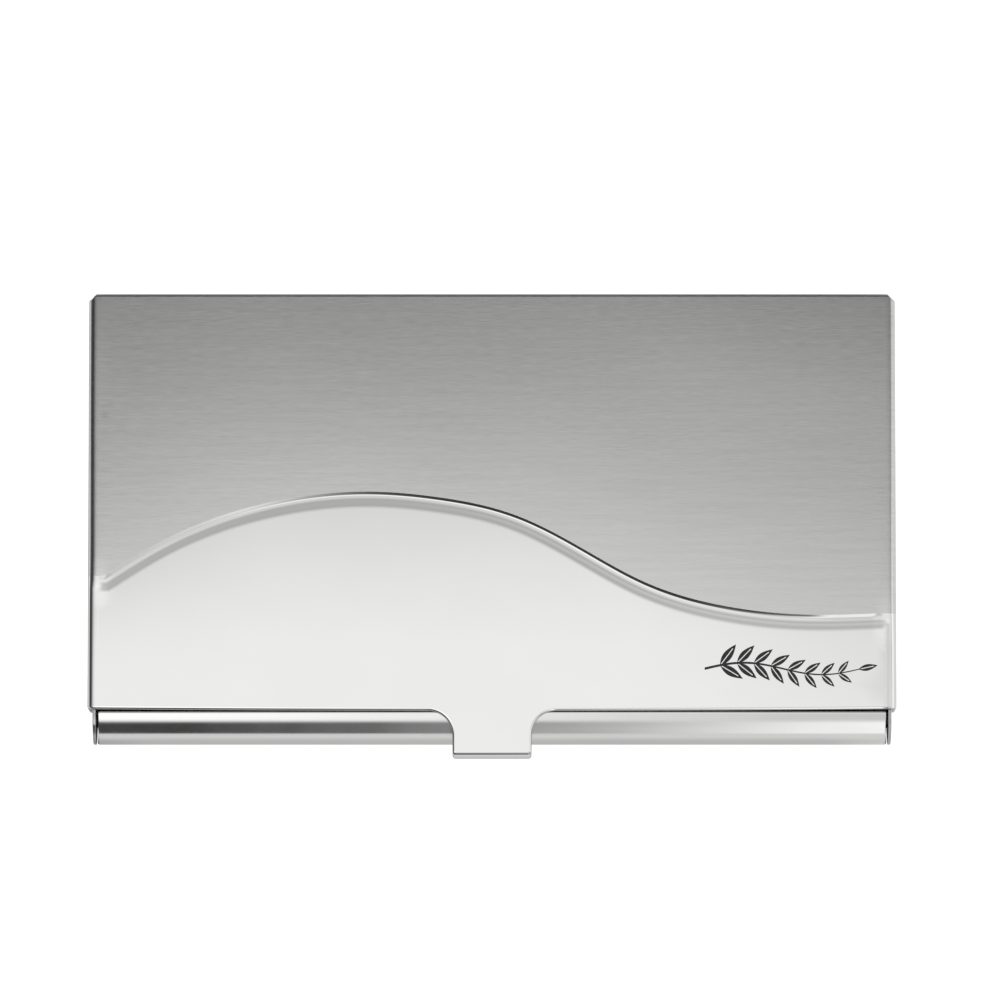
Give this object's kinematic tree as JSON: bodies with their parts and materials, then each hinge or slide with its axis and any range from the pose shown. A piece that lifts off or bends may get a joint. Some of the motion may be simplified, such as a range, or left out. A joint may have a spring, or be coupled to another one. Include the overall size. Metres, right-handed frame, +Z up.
{
  "type": "business card case",
  "caption": "Slim pressed steel card case with a hinged lid, thumb tab, brushed and polished zones split by a wave, and a spring that lifts the cards.",
  "frame": {"origin": "on the table, under the middle of the closed case", "axes": "+X along the hinge, towards the right seen from the front; +Y towards the hinge; +Z up through the lid"},
  "size_m": [0.0952, 0.055, 0.0075],
  "materials": {
    "brushed_steel": "satin, brushed along the length, polished in front of the wave",
    "polished_steel": "mirror polished stainless steel",
    "spring_steel": "rolled strip, semi-bright",
    "bracket_steel": "rolled strip, dull",
    "rivet_steel": "turned",
    "pin_steel": "ground",
    "washer_plastic": "natural nylon",
    "velvet": "short black pile"
  },
  "bodies": {
    "base": {"base_tray": "polished_steel", "floor_liner": "velvet", "card_spring_root": "spring_steel", "card_spring_rivets": "rivet_steel", "left_hinge_bracket": "bracket_steel", "right_hinge_bracket": "bracket_steel", "left_snap_spring": "spring_steel", "right_snap_spring": "spring_steel", "left_snap_spring_rivet": "rivet_steel", "right_snap_spring_rivet": "rivet_steel", "left_pivot_washer": "washer_plastic", "right_pivot_washer": "washer_plastic"},
    "lid": {"lid_cover": "brushed_steel", "left_pivot_pin": "pin_steel", "right_pivot_pin": "pin_steel", "left_snap_cam": "pin_steel", "right_snap_cam": "pin_steel"},
    "card_spring": {"card_spring_blade": "spring_steel"}
  },
  "joints": [
    {"name": "lid_hinge", "type": "hinge", "parent": "base", "child": "lid", "pos_m": [0, 0.025, 0.00375], "axis": [-1, 0, 0], "range_deg": [0, 105], "deforming": ["left_snap_spring", "right_snap_spring"]},
    {"name": "card_spring_flex", "type": "hinge", "parent": "base", "child": "card_spring", "pos_m": [0, 0.011, 0.00068], "axis": [1, 0, 0], "range_deg": [0, 3], "stiffness_Nm_per_rad": 0.05}
  ]
}
